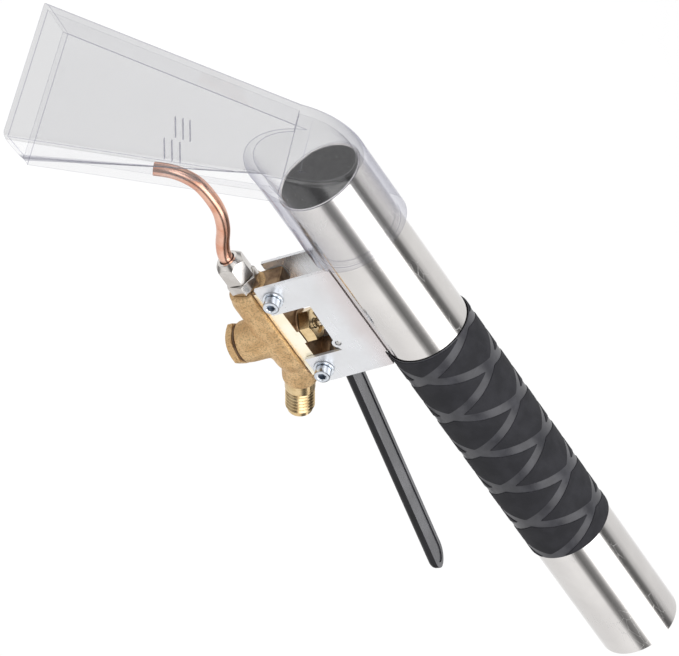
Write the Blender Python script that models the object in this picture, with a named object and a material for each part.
"""Carpet extractor hand tool: stainless wand, clear suction head, trigger valve.

Built in metres, +Z up. Dimensions below are in millimetres in a working frame
whose X runs along the wand from its head end and whose Z is zero on the wand
axis; `at` moves them into the part frame (Z = 0 on the mouth plane, X = Y = 0
in the middle of the bounding box).
"""
import math

import bmesh
import bpy
from mathutils import Matrix, Vector

MM = 0.001

# ---- driving dimensions (millimetres, degrees) -------------------------------
TUBE_OD = 38.1
TUBE_WALL = 1.2
TUBE_LENGTH = 293.9
FIT_GAP = 0.3

HEAD_ANGLE = 48.5
HEAD_WALL = 2.5
HEAD_DEPTH = 14.0
MOUTH_HALF_TOP = 40.5
MOUTH_HALF_BOTTOM = 41.5
MOUTH_X = -96.7
HEAD_CLEAR = 1.1709247
HEAD_ROUND = 2.5
COLLAR_WALL = 3.35
COLLAR_END = 34.4
STOP_STEP = 0.75

GRIP_START = 94.0
GRIP_END = 225.0
GRIP_WALL = 0.65
GRIP_LIP = 0.3

PLATE_INNER = 7.25
PLATE_THICK = 1.5
PLATE_X0 = 42.3
PLATE_X1 = 101.3
PLATE_BOTTOM = -54.3
WINDOW_X0 = 58.2
WINDOW_X1 = 86.3
WINDOW_TOP = -35.9

SCREW_X = (49.7, 93.7)
SCREW_Z = -49.1
SCREW_RADIUS = 1.95
SCREW_HEAD_RADIUS = 3.5
SCREW_HEAD_HEIGHT = 4.0
SCREW_KEY = 3.0
WASHER_RADIUS = 4.5
WASHER_THICK = 0.8

BARREL_Z = -61.4
BARREL_RADIUS = 10.0
BARREL_X0 = 45.3
BARREL_X1 = 93.0
OUTLET_RADIUS = 9.2
SHOULDER_Z = -57.6
SLAB_TOP = -50.4
LUG_TOP = -45.6
STEM_X = 75.3
CAP_BOSS_RADIUS = 9.2
CAP_BOSS_END = -80.3
BONNET_RADIUS = 7.8
BONNET_TOP = -49.4
SEAT_Z = -66.0
CAP_FLATS = 17.0
CAP_BOTTOM = -84.6
CAP_TOP = -81.5

INLET_X = 91.5
INLET_ANGLE = 30.0
INLET_LENGTH = 32.0
INLET_NECK = 13.0
INLET_PLAIN = 18.3
THREAD_RADIUS = 6.55
THREAD_PITCH = 1.337

NUT_FLATS = 13.0
NUT_END = -44.0
RING_WIRE = 0.72
STEM_RADIUS = 2.0
STEM_TOP = -38.95

CONNECTOR_FLATS = 13.0
COMPRESSION_FLATS = 12.0
COMPRESSION_X0 = 28.5
COPPER_RADIUS = 3.0
COPPER_BORE = 2.2
COPPER_END = 40.5

PIVOT_X = 82.2
PIVOT_Z = -35.6
PIN_RADIUS = 1.2
LEVER_SLOPE = 11.4
LEVER_REACH = 151.5
LEVER_FRONT = -14.0
LEVER_HALF = 5.6
LEVER_GAUGE = 1.0
LEVER_WEB = -4.3
LEVER_RIM = -1.7
COAT_START = 20.0
COAT_WALL = 0.5
COAT_GAP = 0.2

# ---- derived -----------------------------------------------------------------
TUBE_R = TUBE_OD / 2
SOCKET_R = TUBE_R + FIT_GAP
COLLAR_RADIUS = SOCKET_R + COLLAR_WALL
STOP_RADIUS = TUBE_R - STOP_STEP
GRIP_RADIUS = SOCKET_R + GRIP_WALL
BODY_HALF_FLAT = PLATE_INNER - FIT_GAP
STEM_BORE = STEM_RADIUS + FIT_GAP
GLAND_RADIUS = STEM_BORE + 2 * RING_WIRE + 0.26
SPIGOT_RADIUS = GLAND_RADIUS - FIT_GAP
SEAT_RADIUS = STEM_RADIUS + 1.4
POPPET_RADIUS = SEAT_RADIUS + 1.0
CHAMBER_RADIUS = POPPET_RADIUS + 1.1
COPPER_HOLE = COPPER_RADIUS + FIT_GAP
NOSE_RADIUS = COPPER_HOLE + 1.3
NUT_POCKET = NOSE_RADIUS + FIT_GAP
SCREW_HOLE = SCREW_RADIUS + 0.25
MID_X = (MOUTH_X + TUBE_LENGTH) / 2
HEAD_SLOPE = math.radians(HEAD_ANGLE)
HEAD_RISE = SOCKET_R + HEAD_CLEAR + (HEAD_WALL + 0.07) / math.cos(HEAD_SLOPE)
MOUTH_Z = HEAD_RISE + MOUTH_X * math.tan(HEAD_SLOPE)
SLOPE = Vector((math.cos(math.radians(HEAD_ANGLE)), 0, math.sin(math.radians(HEAD_ANGLE))))
NORMAL = Vector((-SLOPE.z, 0, SLOPE.x))
MOUTH_TOP = Vector((MOUTH_X, 0, MOUTH_Z))
INLET_DIR = Vector((math.cos(math.radians(INLET_ANGLE)), 0, -math.sin(math.radians(INLET_ANGLE))))
LEVER_DIR = Vector((math.cos(math.radians(LEVER_SLOPE)), 0, -math.sin(math.radians(LEVER_SLOPE))))
LEVER_UP = Vector((math.sin(math.radians(LEVER_SLOPE)), 0, math.cos(math.radians(LEVER_SLOPE))))
PIVOT = Vector((PIVOT_X, 0, PIVOT_Z))


def at(point):
    """Working millimetres to metres in the part frame."""
    return Vector(((point[0] - MID_X) * MM, point[1] * MM, (point[2] - MOUTH_Z) * MM))


def material(name, colour, metallic, roughness, alpha=1.0):
    """A plain Principled material for one sub-part."""
    mat = bpy.data.materials.new(name)
    mat.use_nodes = True
    shader = mat.node_tree.nodes["Principled BSDF"]
    shader.inputs["Base Color"].default_value = (*colour, 1.0)
    shader.inputs["Metallic"].default_value = metallic
    shader.inputs["Roughness"].default_value = roughness
    shader.inputs["Alpha"].default_value = alpha
    mat.diffuse_color = (*colour, alpha)
    return mat


def make_object(name, bm, finish, origin=(0, 0, 0)):
    """Turn a bmesh in working millimetres into a named object."""
    origin_m = at(origin) if tuple(origin) != (0, 0, 0) else Vector((0, 0, 0))
    for vert in bm.verts:
        vert.co = at(vert.co) - origin_m
    bmesh.ops.recalc_face_normals(bm, faces=bm.faces)
    mesh = bpy.data.meshes.new(name)
    bm.to_mesh(mesh)
    bm.free()
    obj = bpy.data.objects.new(name, mesh)
    obj.location = origin_m
    bpy.context.scene.collection.objects.link(obj)
    if finish is not None:
        mesh.materials.append(finish)
        smooth(obj)
    return obj


def smooth(obj):
    """Smooth shading with edges sharper than 30 degrees kept."""
    obj.data.shade_smooth()
    obj.data.set_sharp_from_angle(angle=math.radians(30))


def hide_cutter(obj):
    """A helper that only cuts: wire in the viewport, never rendered."""
    obj.hide_render = True
    obj.display_type = "WIRE"
    return obj


def boolean(target, other, operation):
    """An exact boolean with a hidden helper."""
    mod = target.modifiers.new(operation.lower(), "BOOLEAN")
    mod.operation = operation
    mod.solver = "EXACT"
    mod.object = hide_cutter(other)
    return target


def cut(target, *others):
    for other in others:
        boolean(target, other, "DIFFERENCE")
    return target


def join(target, *others):
    for other in others:
        boolean(target, other, "UNION")
    return target


def weld(target):
    """Merge the near-duplicate corners an exact boolean can leave."""
    mod = target.modifiers.new("weld", "WELD")
    mod.merge_threshold = 0.00001
    return target


def frame(axis, origin):
    """Matrix taking local Z to `axis` and local zero to `origin`."""
    turn = Vector((0, 0, 1)).rotation_difference(Vector(axis).normalized())
    return Matrix.Translation(Vector(origin)) @ turn.to_matrix().to_4x4()


def add_rings(bm, profile, segments, matrix, closed):
    """Revolve (radius, height) points about local Z."""
    rings = []
    for radius, height in profile:
        if radius < 1e-6:
            rings.append([bm.verts.new(matrix @ Vector((0, 0, height)))])
            continue
        ring = []
        for i in range(segments):
            turn = 2 * math.pi * i / segments
            local = Vector((radius * math.cos(turn), radius * math.sin(turn), height))
            ring.append(bm.verts.new(matrix @ local))
        rings.append(ring)
    pairs = list(zip(rings, rings[1:]))
    if closed:
        pairs.append((rings[-1], rings[0]))
    for low, high in pairs:
        for i in range(segments):
            j = (i + 1) % segments
            corners = [low[i % len(low)], low[j % len(low)], high[j % len(high)], high[i % len(high)]]
            unique = list(dict.fromkeys(corners))
            if len(unique) > 2:
                bm.faces.new(unique)


def lathe(name, profile, axis, origin, finish, segments=48, closed=False, pivot=(0, 0, 0)):
    """A turned body. An open profile starts and ends on the axis."""
    bm = bmesh.new()
    points = list(profile)
    if not closed:
        points = [(0.0, points[0][1])] + points + [(0.0, points[-1][1])]
    add_rings(bm, points, segments, frame(axis, origin), closed)
    return make_object(name, bm, finish, pivot)


def ring_body(name, inner, outer, low, high, axis, origin, finish, segments=48):
    """A plain ring between two radii."""
    profile = [(inner, low), (outer, low), (outer, high), (inner, high)]
    return lathe(name, profile, axis, origin, finish, segments, closed=True)


def prism(name, outline, origin, side, up, depth, finish, pivot=(0, 0, 0)):
    """Extrude a flat outline (side, up) along side x up by +-depth."""
    side = Vector(side)
    up = Vector(up)
    out = side.cross(up).normalized()
    low, high = depth
    bm = bmesh.new()
    near = [bm.verts.new(Vector(origin) + side * a + up * b + out * low) for a, b in outline]
    far = [bm.verts.new(Vector(origin) + side * a + up * b + out * high) for a, b in outline]
    bm.faces.new(near)
    bm.faces.new(list(reversed(far)))
    for i in range(len(outline)):
        j = (i + 1) % len(outline)
        bm.faces.new([near[i], far[i], far[j], near[j]])
    return make_object(name, bm, finish, pivot)


def hexagon(flats, turn=0.0):
    radius = flats / math.sqrt(3)
    return [(radius * math.cos(math.radians(60 * i + turn)),
             radius * math.sin(math.radians(60 * i + turn))) for i in range(6)]


# ---- wand --------------------------------------------------------------------
def build_tube(steel):
    inner = TUBE_R - TUBE_WALL
    profile = [(inner, 0), (TUBE_R - 0.3, 0), (TUBE_R, 0.3), (TUBE_R, TUBE_LENGTH - 0.3),
               (TUBE_R - 0.3, TUBE_LENGTH), (inner, TUBE_LENGTH)]
    return lathe("wand_tube", profile, (1, 0, 0), (0, 0, 0), steel, 64, closed=True)


def build_grip(rubber):
    inner = SOCKET_R
    length = GRIP_END - GRIP_START
    outer = GRIP_RADIUS - GRIP_LIP
    profile = [(inner, 0), (outer, 0), (GRIP_RADIUS, 0.6), (GRIP_RADIUS, length - 0.6),
               (outer, length), (inner, length)]
    return lathe("grip_sleeve", profile, (1, 0, 0), (GRIP_START, 0, 0), rubber, 64, closed=True)


# ---- suction head ------------------------------------------------------------
def slab_points(inset, depth_from, depth_to, s_from, s_to):
    """Corner points of the tapered funnel between two depths below its top plane."""
    reach = -MOUTH_Z / SLOPE.z
    slope = (MOUTH_HALF_TOP - COLLAR_RADIUS) / reach
    width_at = MOUTH_HALF_TOP - slope * reach
    points = []
    for s in (s_from, s_to):
        for depth in (depth_from, depth_to):
            spread = (MOUTH_HALF_BOTTOM - MOUTH_HALF_TOP) * depth / HEAD_DEPTH
            taper = max(0.0, (s_to - s) / (s_to - s_from))
            half = width_at + slope * (reach - s) + spread * taper - inset
            for sign in (-1, 1):
                points.append(MOUTH_TOP + SLOPE * s - NORMAL * depth + Vector((0, sign * half, 0)))
    return points


def hull_object(name, points, finish=None):
    bm = bmesh.new()
    for point in points:
        bm.verts.new(point)
    bmesh.ops.convex_hull(bm, input=list(bm.verts))
    loose = [v for v in bm.verts if not v.link_faces]
    bmesh.ops.delete(bm, geom=loose, context="VERTS")
    bmesh.ops.dissolve_limit(bm, angle_limit=math.radians(0.5), verts=bm.verts, edges=bm.edges)
    return make_object(name, bm, finish)


def rounded_slab():
    """The funnel outside, with its two long top edges rounded."""
    s_to = 119.0
    r = HEAD_ROUND
    points = slab_points(0.0, r, HEAD_DEPTH, -25.0, s_to)
    for step in (15, 30, 45, 60, 75, 90):
        turn = math.radians(step)
        inset = r * (1 - math.cos(turn))
        depth = r * (1 - math.sin(turn))
        points += slab_points(inset, depth, depth, -25.0, s_to)
    return points


def mouth_cut(bm):
    """Trim a bmesh flat on the mouth plane."""
    geom = list(bm.verts) + list(bm.edges) + list(bm.faces)
    cut_geom = bmesh.ops.bisect_plane(bm, geom=geom, plane_co=MOUTH_TOP, plane_no=(0, 0, -1),
                                      clear_outer=True)
    edges = [e for e in cut_geom["geom_cut"] if isinstance(e, bmesh.types.BMEdge)]
    bmesh.ops.contextual_create(bm, geom=edges)


def build_head_funnel(plastic):
    bm = bmesh.new()
    for point in rounded_slab():
        bm.verts.new(point)
    bmesh.ops.convex_hull(bm, input=list(bm.verts))
    loose = [v for v in bm.verts if not v.link_faces]
    bmesh.ops.delete(bm, geom=loose, context="VERTS")
    bmesh.ops.dissolve_limit(bm, angle_limit=math.radians(0.5), verts=bm.verts, edges=bm.edges)
    mouth_cut(bm)
    return make_object("clear_head", bm, plastic)


def build_collar():
    """The collar: a cylinder along the wand cut by the funnel's top plane."""
    bm = bmesh.new()
    profile = [(0, -60), (COLLAR_RADIUS, -60), (COLLAR_RADIUS, COLLAR_END - 0.8),
               (COLLAR_RADIUS - 0.8, COLLAR_END), (0, COLLAR_END)]
    add_rings(bm, profile, 64, frame((1, 0, 0), (0, 0, 0)), False)
    geom = list(bm.verts) + list(bm.edges) + list(bm.faces)
    found = bmesh.ops.bisect_plane(bm, geom=geom, plane_co=MOUTH_TOP - NORMAL * 0.06,
                                   plane_no=NORMAL, clear_outer=True)
    edges = [e for e in found["geom_cut"] if isinstance(e, bmesh.types.BMEdge)]
    bmesh.ops.contextual_create(bm, geom=edges)
    bmesh.ops.bevel(bm, geom=edges, offset=HEAD_ROUND * 0.9, segments=4, profile=0.5,
                    affect="EDGES")
    return make_object("collar_form", bm, None)


def build_head_bore():
    """The tube socket, its stop and the bore that opens into the funnel."""
    bm = bmesh.new()
    socket = SOCKET_R
    profile = [(0, -60), (STOP_RADIUS, -60), (STOP_RADIUS, -FIT_GAP), (socket, -FIT_GAP),
               (socket, COLLAR_END + 2), (0, COLLAR_END + 2)]
    add_rings(bm, profile, 64, frame((1, 0, 0), (0, 0, 0)), False)
    geom = list(bm.verts) + list(bm.edges) + list(bm.faces)
    found = bmesh.ops.bisect_plane(bm, geom=geom, plane_co=MOUTH_TOP - NORMAL * (HEAD_WALL + 0.07),
                                   plane_no=NORMAL, clear_outer=True)
    edges = [e for e in found["geom_cut"] if isinstance(e, bmesh.types.BMEdge)]
    bmesh.ops.contextual_create(bm, geom=edges)
    return make_object("head_bore", bm, None)


def build_head(plastic):
    head = build_head_funnel(plastic)
    join(head, build_collar())
    inner = slab_points(HEAD_WALL, HEAD_WALL, HEAD_DEPTH - HEAD_WALL, -30.0, 113.0)
    return weld(cut(head, hull_object("funnel_space", inner), build_head_bore()))


# ---- bracket -----------------------------------------------------------------
def plate_outline():
    top = -math.sqrt(TUBE_R ** 2 - PLATE_INNER ** 2) - FIT_GAP
    lobe = []
    for i in range(9):
        turn = math.pi + math.pi * i / 8
        lobe.append((PIVOT_X - 2.6 * math.cos(turn - math.pi), PIVOT_Z + 2.6 * math.sin(turn) - 0.2))
    low = [(PLATE_X0, PLATE_BOTTOM), (WINDOW_X0, PLATE_BOTTOM), (WINDOW_X0, WINDOW_TOP)]
    lobe = [p for p in lobe if p[1] < WINDOW_TOP - 0.05]
    under_grip = -math.sqrt(GRIP_RADIUS ** 2 - PLATE_INNER ** 2) - FIT_GAP
    high = [(WINDOW_X1, WINDOW_TOP), (WINDOW_X1, PLATE_BOTTOM), (PLATE_X1, PLATE_BOTTOM),
            (PLATE_X1, under_grip), (GRIP_START - 0.5, under_grip), (GRIP_START - 0.5, top),
            (PLATE_X0, top)]
    return low + lobe + high


def build_plate(name, side, steel):
    inner = side * PLATE_INNER
    outer = side * (PLATE_INNER + PLATE_THICK)
    depth = (min(-inner, -outer), max(-inner, -outer))
    plate = prism(name, plate_outline(), (0, 0, 0), (1, 0, 0), (0, 0, 1), depth, steel)
    middle = side * (PLATE_INNER + PLATE_THICK / 2)
    for i, x in enumerate(SCREW_X):
        hole = lathe(f"{name}_hole_{i}", [(SCREW_HOLE, -2), (SCREW_HOLE, 2)], (0, 1, 0),
                     (x, middle, SCREW_Z), None, 24)
        cut(plate, hole)
    pin_hole = lathe(f"{name}_pin_hole", [(PIN_RADIUS + 0.25, -2), (PIN_RADIUS + 0.25, 2)],
                     (0, 1, 0), (PIVOT_X, middle, PIVOT_Z), None, 20)
    return cut(plate, pin_hole)


def build_washer(name, side, x, zinc):
    low = PLATE_INNER + PLATE_THICK + 0.25
    return ring_body(name, SCREW_HOLE, WASHER_RADIUS, low, low + WASHER_THICK, (0, side, 0),
                     (x, 0, SCREW_Z), zinc, 24)


def build_screw(name, side, x, zinc):
    seat = PLATE_INNER + PLATE_THICK + WASHER_THICK + 0.5
    top = seat + SCREW_HEAD_HEIGHT
    profile = [(SCREW_RADIUS - 0.4, 2.0), (SCREW_RADIUS, 2.4), (SCREW_RADIUS, seat),
               (SCREW_HEAD_RADIUS, seat), (SCREW_HEAD_RADIUS, top - 0.4),
               (SCREW_HEAD_RADIUS - 0.4, top)]
    screw = lathe(name, profile, (0, side, 0), (x, 0, SCREW_Z), zinc, 20)
    depth = (-side * (top + 1), -side * (top - 2.2))
    key = prism(f"{name}_key", hexagon(SCREW_KEY), (x, 0, SCREW_Z), (1, 0, 0), (0, 0, 1),
                (min(depth), max(depth)), None)
    return cut(screw, key)


# ---- valve -------------------------------------------------------------------
def build_inlet():
    """Angled inlet stub: cast neck, plain turned length, ring-cut thread."""
    root = THREAD_RADIUS - 0.75
    neck = THREAD_RADIUS + 1.2
    profile = [(neck, 0), (neck, INLET_NECK - 1.2), (neck - 0.5, INLET_NECK),
               (THREAD_RADIUS + 0.15, INLET_NECK), (THREAD_RADIUS + 0.15, INLET_PLAIN)]
    t = INLET_PLAIN + 0.3
    while t + THREAD_PITCH < INLET_LENGTH - 0.6:
        profile += [(root, t), (THREAD_RADIUS, t + THREAD_PITCH / 2)]
        t += THREAD_PITCH
    profile += [(root, INLET_LENGTH)]
    return lathe("inlet_form", profile, INLET_DIR, (INLET_X, 0, BARREL_Z), None, 24)


def build_flats():
    """Blocks that mill the upper body flat between the bracket plates."""
    cutters = []
    for side in (-1, 1):
        bm = bmesh.new()
        bmesh.ops.create_cube(bm, size=1.0)
        bmesh.ops.scale(bm, vec=(80, 10, 20), verts=bm.verts)
        centre = Vector((72, side * (BODY_HALF_FLAT + 5), SHOULDER_Z + 10))
        bmesh.ops.translate(bm, vec=centre, verts=bm.verts)
        cutters.append(make_object(f"mill_{side}", bm, None))
    return cutters


def build_slab():
    """Upper body between the plates, with the two screw lugs."""
    low = BARREL_Z + 0.7
    outline = [(46.2, low), (46.2, LUG_TOP), (55.0, LUG_TOP), (56.2, SLAB_TOP),
               (87.4, SLAB_TOP), (88.6, LUG_TOP), (97.6, LUG_TOP), (97.6, low)]
    return prism("slab_form", outline, (0, 0, 0), (1, 0, 0), (0, 0, 1),
                 (-BODY_HALF_FLAT + 0.04, BODY_HALF_FLAT - 0.04), None)


def build_valve_passages():
    outlet = lathe("outlet_bore", [(4.8, -1), (4.8, 8.0), (2.5, 8.0), (2.5, STEM_X - BARREL_X0)],
                   (1, 0, 0), (BARREL_X0, 0, BARREL_Z), None, 28)
    stem_way = [(6.5, CAP_BOSS_END - 1), (6.5, -73.2), (CHAMBER_RADIUS, -73.2),
                (CHAMBER_RADIUS, SEAT_Z), (SEAT_RADIUS, SEAT_Z), (SEAT_RADIUS, -57.2),
                (STEM_BORE, -57.2), (STEM_BORE, -52.6), (GLAND_RADIUS, -52.6),
                (GLAND_RADIUS, BONNET_TOP + 1)]
    stem_bore = lathe("stem_bore", stem_way, (0, 0, 1), (STEM_X, 0, 0), None, 28)
    inlet_bore = lathe("inlet_bore", [(3.5, 7.5), (3.5, INLET_LENGTH + 1)], INLET_DIR,
                       (INLET_X, 0, BARREL_Z), None, 28)
    start = Vector((INLET_X, 0, BARREL_Z)) + INLET_DIR * 10.0
    end = Vector((STEM_X, 0, -69.6))
    way = end - start
    link = lathe("link_bore", [(2.4, 0), (2.4, way.length)], way, start, None, 24)
    return [outlet, stem_bore, inlet_bore, link]


def build_valve_body(brass):
    profile = [(OUTLET_RADIUS - 0.6, 0), (OUTLET_RADIUS, 0.6), (OUTLET_RADIUS, 3.2),
               (BARREL_RADIUS, 5.0), (BARREL_RADIUS, BARREL_X1 - BARREL_X0 - 3.0),
               (BARREL_RADIUS - 0.9, BARREL_X1 - BARREL_X0 - 0.9),
               (BARREL_RADIUS - 3.0, BARREL_X1 - BARREL_X0)]
    body = lathe("valve_body", profile, (1, 0, 0), (BARREL_X0, 0, BARREL_Z), brass, 40)
    boss = lathe("cap_boss", [(CAP_BOSS_RADIUS, CAP_BOSS_END), (CAP_BOSS_RADIUS, BARREL_Z - 1)],
                 (0, 0, 1), (STEM_X, 0, 0), None, 40)
    bonnet = lathe("bonnet", [(BONNET_RADIUS, BARREL_Z + 1.7), (BONNET_RADIUS, BONNET_TOP)],
                   (0, 0, 1), (STEM_X, 0, 0), None, 36)
    join(body, build_inlet())
    cut(body, *build_flats())
    join(body, build_slab(), boss, bonnet)
    for passage in build_valve_passages():
        weld(cut(body, passage))
    for side in (-1, 1):
        for x in SCREW_X:
            hole = lathe(f"lug_hole_{side}_{x}", [(SCREW_HOLE, 1.4), (SCREW_HOLE, BODY_HALF_FLAT + 2)],
                         (0, side, 0),
                         (x, 0, SCREW_Z), None, 20)
            cut(body, hole)
    return body


def build_end_cap(brass):
    cap = prism("valve_end_cap", hexagon(CAP_FLATS, 12), (STEM_X, 0, 0), (1, 0, 0), (0, 1, 0),
                (CAP_BOTTOM, CAP_TOP), brass)
    spigot = lathe("cap_spigot", [(6.1, CAP_TOP - 1), (6.1, -74.0)], (0, 0, 1),
                   (STEM_X, 0, 0), None, 32)
    pocket = lathe("cap_pocket", [(4.3, -80.0), (4.3, -73)], (0, 0, 1), (STEM_X, 0, 0), None, 28)
    return cut(join(cap, spigot), pocket)


def build_gasket(fibre):
    return ring_body("cap_gasket", 6.5, 8.4, -81.2, -80.6, (0, 0, 1), (STEM_X, 0, 0), fibre, 32)


def build_spring(steel):
    """Closed round-wire compression spring around the stem tail."""
    turns = 5.5
    low, high, mean, wire = -79.2, -69.9, 3.2, 0.4
    steps = int(turns * 12)
    bm = bmesh.new()
    rings = []
    for i in range(steps + 1):
        turn = 2 * math.pi * turns * i / steps
        height = low + (high - low) * i / steps
        centre = Vector((STEM_X + mean * math.cos(turn), mean * math.sin(turn), height))
        out = Vector((math.cos(turn), math.sin(turn), 0))
        ring = []
        for j in range(6):
            roll = 2 * math.pi * j / 6
            ring.append(bm.verts.new(centre + out * wire * math.cos(roll)
                                     + Vector((0, 0, wire * math.sin(roll)))))
        rings.append(ring)
    for low_ring, high_ring in zip(rings, rings[1:]):
        for j in range(6):
            k = (j + 1) % 6
            bm.faces.new([low_ring[j], low_ring[k], high_ring[k], high_ring[j]])
    bm.faces.new(list(reversed(rings[0])))
    bm.faces.new(rings[-1])
    return make_object("valve_spring", bm, steel, (STEM_X, 0, -79.6))


def build_stem(steel):
    waist = STEM_RADIUS - 0.4
    profile = [(1.9, -72.5), (2.2, -72.2), (2.2, -69.1), (POPPET_RADIUS, -69.1),
               (POPPET_RADIUS, -67.3), (waist, -67.3), (waist, -58.2), (STEM_RADIUS, -57.6),
               (STEM_RADIUS, STEM_TOP - 0.95), (STEM_RADIUS - 0.3, STEM_TOP - 0.35),
               (STEM_RADIUS - 1.0, STEM_TOP)]
    return lathe("valve_stem", profile, (0, 0, 1), (STEM_X, 0, 0), steel, 28,
                 pivot=(STEM_X, 0, -60))


def build_poppet_seal(rubber):
    seal = ring_body("poppet_seal", STEM_RADIUS - 0.1, POPPET_RADIUS - 0.1, -67.0, SEAT_Z - 0.25,
                     (0, 0, 1), (STEM_X, 0, 0), rubber, 28)
    shift_origin(seal, (STEM_X, 0, -60))
    return seal


def shift_origin(obj, origin):
    """Move an object's origin without moving its mesh."""
    target = at(origin)
    obj.data.transform(Matrix.Translation(obj.location - target))
    obj.location = target


def build_stem_ring(rubber):
    minor = RING_WIRE
    middle = STEM_BORE + minor + 0.1
    profile = []
    for i in range(8):
        turn = 2 * math.pi * i / 8
        profile.append((middle + minor * math.cos(turn), -51.6 + minor * math.sin(turn)))
    return lathe("stem_o_ring", profile, (0, 0, 1), (STEM_X, 0, 0), rubber, 28, closed=True)


def build_packing_nut(brass):
    nut = prism("packing_nut", hexagon(NUT_FLATS, 30), (STEM_X, 0, 0), (1, 0, 0), (0, 1, 0),
                (BONNET_TOP + 0.3, NUT_END), brass)
    spigot = lathe("nut_spigot", [(SPIGOT_RADIUS, -50.6), (SPIGOT_RADIUS, BONNET_TOP + 1)], (0, 0, 1),
                   (STEM_X, 0, 0), None, 28)
    recess = STEM_BORE + 2.2
    bore = lathe("nut_bore", [(STEM_BORE, -52), (STEM_BORE, NUT_END - 0.8),
                              (recess, NUT_END - 0.8), (recess, NUT_END + 1)], (0, 0, 1),
                 (STEM_X, 0, 0), None, 28)
    return cut(join(nut, spigot), bore)


# ---- spray line --------------------------------------------------------------
def build_connector(nickel):
    hexa = prism("outlet_connector", hexagon(CONNECTOR_FLATS, 20), (0, 0, BARREL_Z), (0, 1, 0),
                 (0, 0, 1), (39.8, 45.0), nickel)
    spigot = lathe("connector_spigot", [(4.5, 44), (4.5, 52.6)], (1, 0, 0), (0, 0, BARREL_Z),
                   None, 28)
    nose = lathe("connector_nose", [(NOSE_RADIUS, 34.8), (NOSE_RADIUS, 41)], (1, 0, 0),
                 (0, 0, BARREL_Z), None, 28)
    bore = lathe("connector_bore", [(COPPER_HOLE, 33), (COPPER_HOLE, 40.9), (2.0, 40.9), (2.0, 54)],
                 (1, 0, 0),
                 (0, 0, BARREL_Z), None, 24)
    return cut(join(hexa, spigot, nose), bore)


def build_compression_nut(nickel):
    nut = prism("compression_nut", hexagon(COMPRESSION_FLATS, 50), (0, 0, BARREL_Z), (0, 1, 0),
                (0, 0, 1), (COMPRESSION_X0, 39.5), nickel)
    chamfer = lathe("nut_chamfer", [(5.0, COMPRESSION_X0 - 0.01), (7.4, COMPRESSION_X0 + 2.6),
                                    (7.4, 40)], (1, 0, 0), (0, 0, BARREL_Z), None, 36)
    bore = lathe("compression_bore", [(COPPER_HOLE, 27), (COPPER_HOLE, 31.6), (NUT_POCKET, 32.0),
                                      (NUT_POCKET, 41)],
                 (1, 0, 0), (0, 0, BARREL_Z), None, 28)
    boolean(nut, chamfer, "INTERSECT")
    return cut(nut, bore)


def build_ferrule(brass):
    outer = NOSE_RADIUS
    profile = [(COPPER_HOLE, 32.4), (outer - 0.4, 32.4), (outer, 33.2), (outer, 34.0),
               (outer - 0.6, 34.5), (COPPER_HOLE, 34.5)]
    return lathe("compression_ferrule", profile, (1, 0, 0), (0, 0, BARREL_Z), brass, 28,
                 closed=True)


COPPER_PATH = [(COPPER_END, BARREL_Z), (27.0, BARREL_Z), (20.2, -58.6), (12.2, -53.6),
               (3.6, -50.3), (-5.0, -49.5), (-13.6, -50.4), (-19.6, -53.4), (-24.2, -57.6),
               (-28.0, -63.6)]


def smooth_path(points, per_span):
    """Catmull-Rom curve through the points, starting with a straight run."""
    ctrl = [Vector((x, 0, z)) for x, z in points]
    path = [ctrl[0]]
    for i in range(1, len(ctrl) - 1):
        p0, p1, p2 = ctrl[i - 1], ctrl[i], ctrl[i + 1]
        p3 = ctrl[min(i + 2, len(ctrl) - 1)]
        if i == 1:
            p0 = p1 - (p1 - p0).normalized() * (p2 - p1).length
        for k in range(per_span):
            t = k / per_span
            a = 2 * p1 + (p2 - p0) * t
            b = (2 * p0 - 5 * p1 + 4 * p2 - p3) * t * t
            c = (3 * p1 - p0 - 3 * p2 + p3) * t * t * t
            path.append((a + b + c) / 2)
    path.append(ctrl[-1])
    return path


def build_copper(copper):
    """Bent copper tube, swept as one hollow body."""
    path = smooth_path(COPPER_PATH, 3)
    sides = 16
    bm = bmesh.new()
    shells = []
    for radius in (COPPER_RADIUS, COPPER_BORE):
        rings = []
        for i, point in enumerate(path):
            ahead = path[min(i + 1, len(path) - 1)] - path[max(i - 1, 0)]
            up = Vector((0, 1, 0)).cross(ahead.normalized())
            ring = []
            for j in range(sides):
                turn = 2 * math.pi * j / sides
                offset = Vector((0, radius * math.cos(turn), 0)) + up * radius * math.sin(turn)
                ring.append(bm.verts.new(point + offset))
            rings.append(ring)
        shells.append(rings)
    for rings in shells:
        for low, high in zip(rings, rings[1:]):
            for j in range(sides):
                k = (j + 1) % sides
                bm.faces.new([low[j], low[k], high[k], high[j]])
    for end in (0, -1):
        for j in range(sides):
            k = (j + 1) % sides
            bm.faces.new([shells[0][end][j], shells[0][end][k], shells[1][end][k],
                          shells[1][end][j]])
    return make_object("spray_tube", bm, copper)


def build_tip(brass):
    """Fan nozzle insert pushed just inside the end of the copper tube."""
    end = Vector((COPPER_PATH[-1][0], 0, COPPER_PATH[-1][1]))
    back = smooth_path(COPPER_PATH, 3)[-2]
    way = (end - back).normalized()
    outer = COPPER_BORE - 0.35
    profile = [(0.6, -3.4), (outer, -3.4), (outer, -0.4), (0.6, -0.4)]
    tip = lathe("spray_tip", profile, way, end, brass, 20, closed=True)
    slot = prism("tip_slot", [(-4, -0.3), (4, -0.3), (4, 0.3), (-4, 0.3)], end - way * 0.4,
                 (0, 1, 0), way.cross(Vector((0, 1, 0))), (-1.0, 1.0), None)
    return cut(tip, slot)


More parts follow.
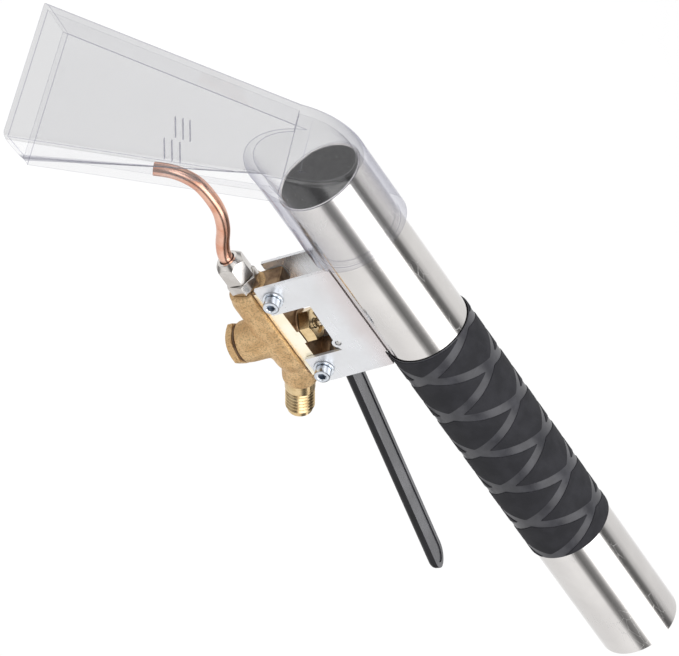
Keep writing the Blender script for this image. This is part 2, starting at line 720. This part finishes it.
# ---- trigger -----------------------------------------------------------------
def channel(name, half, web_low, gauge, rim, start, end, rounding, finish, pivot):
    """A U-channel open towards the wand, with a rounded closed tip.

    Outer plan is rounded at the far end; the inside is offset by the gauge.
    """
    def plan(width, tip):
        outline = [(start, -width), (tip - rounding, -width)]
        for i in range(1, 8):
            turn = -math.pi / 2 + math.pi * i / 8
            outline.append((tip - rounding + rounding * math.cos(turn), width * math.sin(turn)))
        outline += [(tip - rounding, width), (start, width)]
        return outline
    outer = prism(name, plan(half, end), PIVOT, LEVER_DIR, (0, 1, 0), (web_low, rim), finish,
                  pivot)
    inner = prism(f"{name}_inside", [(a - (2 if a == start else 0), b)
                                     for a, b in plan(half - gauge, end - gauge)],
                  PIVOT, LEVER_DIR, (0, 1, 0), (web_low + gauge, rim + 5), None)
    return cut(outer, inner)


def build_lever(steel):
    lever = channel("trigger_lever", LEVER_HALF, LEVER_WEB, LEVER_GAUGE, LEVER_RIM,
                    LEVER_FRONT, LEVER_REACH, 7.0, steel, tuple(PIVOT))
    for side in (-1, 1):
        middle = side * (LEVER_HALF - LEVER_GAUGE / 2)
        ear = prism(f"lever_ear_{side}", ear_outline(), PIVOT + Vector((0, middle, 0)),
                    LEVER_DIR, LEVER_UP, (-LEVER_GAUGE / 2, LEVER_GAUGE / 2), None)
        join(lever, ear)
    hole = lathe("lever_pin_hole", [(PIN_RADIUS + 0.25, -9), (PIN_RADIUS + 0.25, 9)], (0, 1, 0),
                 PIVOT, None, 20)
    return cut(lever, hole)


def ear_outline():
    outline = [(-10.0, LEVER_WEB + 0.2), (9.0, LEVER_WEB + 0.2), (5.0, LEVER_RIM + 0.6)]
    for i in range(7):
        turn = math.pi * i / 6
        outline.append((2.7 * math.cos(turn), 2.7 * math.sin(turn)))
    outline += [(-5.0, LEVER_RIM + 0.6)]
    return outline


def build_coat(vinyl):
    """Dipped coat: a sock over the channel, open at the bracket end."""
    grow = COAT_WALL + COAT_GAP
    coat = channel("lever_coat", LEVER_HALF + grow, LEVER_WEB - grow,
                   LEVER_GAUGE + 2 * grow, LEVER_RIM + grow, COAT_START, LEVER_REACH + grow,
                   7.0 + grow, vinyl, tuple(PIVOT))
    space = channel("coat_space", LEVER_HALF + COAT_GAP, LEVER_WEB - COAT_GAP,
                    LEVER_GAUGE + 2 * COAT_GAP, LEVER_RIM + COAT_GAP, COAT_START - 3,
                    LEVER_REACH + COAT_GAP, 7.0 + COAT_GAP, None, (0, 0, 0))
    return cut(coat, space)


def build_pin(steel):
    reach = PLATE_INNER + PLATE_THICK - 0.1
    profile = [(PIN_RADIUS - 0.2, -reach), (PIN_RADIUS, -reach + 0.2),
               (PIN_RADIUS, reach - 0.2), (PIN_RADIUS - 0.2, reach)]
    return lathe("pivot_pin", profile, (0, 1, 0), tuple(PIVOT), steel, 20)


def main():
    for obj in list(bpy.data.objects):
        bpy.data.objects.remove(obj, do_unlink=True)
    steel = material("stainless", (0.62, 0.61, 0.60), 1.0, 0.28)
    sheet = material("bracket_sheet", (0.70, 0.71, 0.73), 1.0, 0.35)
    zinc = material("zinc_screw", (0.72, 0.73, 0.75), 1.0, 0.30)
    clear = material("clear_plastic", (0.86, 0.87, 0.90), 0.0, 0.08, 0.35)
    rubber = material("grip_rubber", (0.03, 0.03, 0.032), 0.0, 0.65)
    vinyl = material("lever_vinyl", (0.02, 0.02, 0.022), 0.0, 0.25)
    brass = material("brass", (0.70, 0.52, 0.28), 1.0, 0.38)
    nickel = material("nickel", (0.66, 0.63, 0.58), 1.0, 0.28)
    copper = material("copper", (0.80, 0.42, 0.30), 1.0, 0.30)
    seal = material("seal_rubber", (0.02, 0.02, 0.02), 0.0, 0.6)
    fibre = material("fibre", (0.45, 0.10, 0.06), 0.0, 0.7)
    build_tube(steel)
    build_head(clear)
    build_grip(rubber)
    build_plate("bracket_plate_left", -1, sheet)
    build_plate("bracket_plate_right", 1, sheet)
    number = 1
    for side in (-1, 1):
        for x in SCREW_X:
            build_washer(f"screw_washer_{number}", side, x, zinc)
            build_screw(f"bracket_screw_{number}", side, x, zinc)
            number += 1
    build_valve_body(brass)
    build_end_cap(brass)
    build_gasket(fibre)
    build_spring(steel)
    build_stem(steel)
    build_poppet_seal(seal)
    build_stem_ring(seal)
    build_packing_nut(brass)
    build_connector(nickel)
    build_compression_nut(nickel)
    build_ferrule(brass)
    build_copper(copper)
    build_tip(brass)
    build_lever(sheet)
    build_coat(vinyl)
    build_pin(sheet)


main()
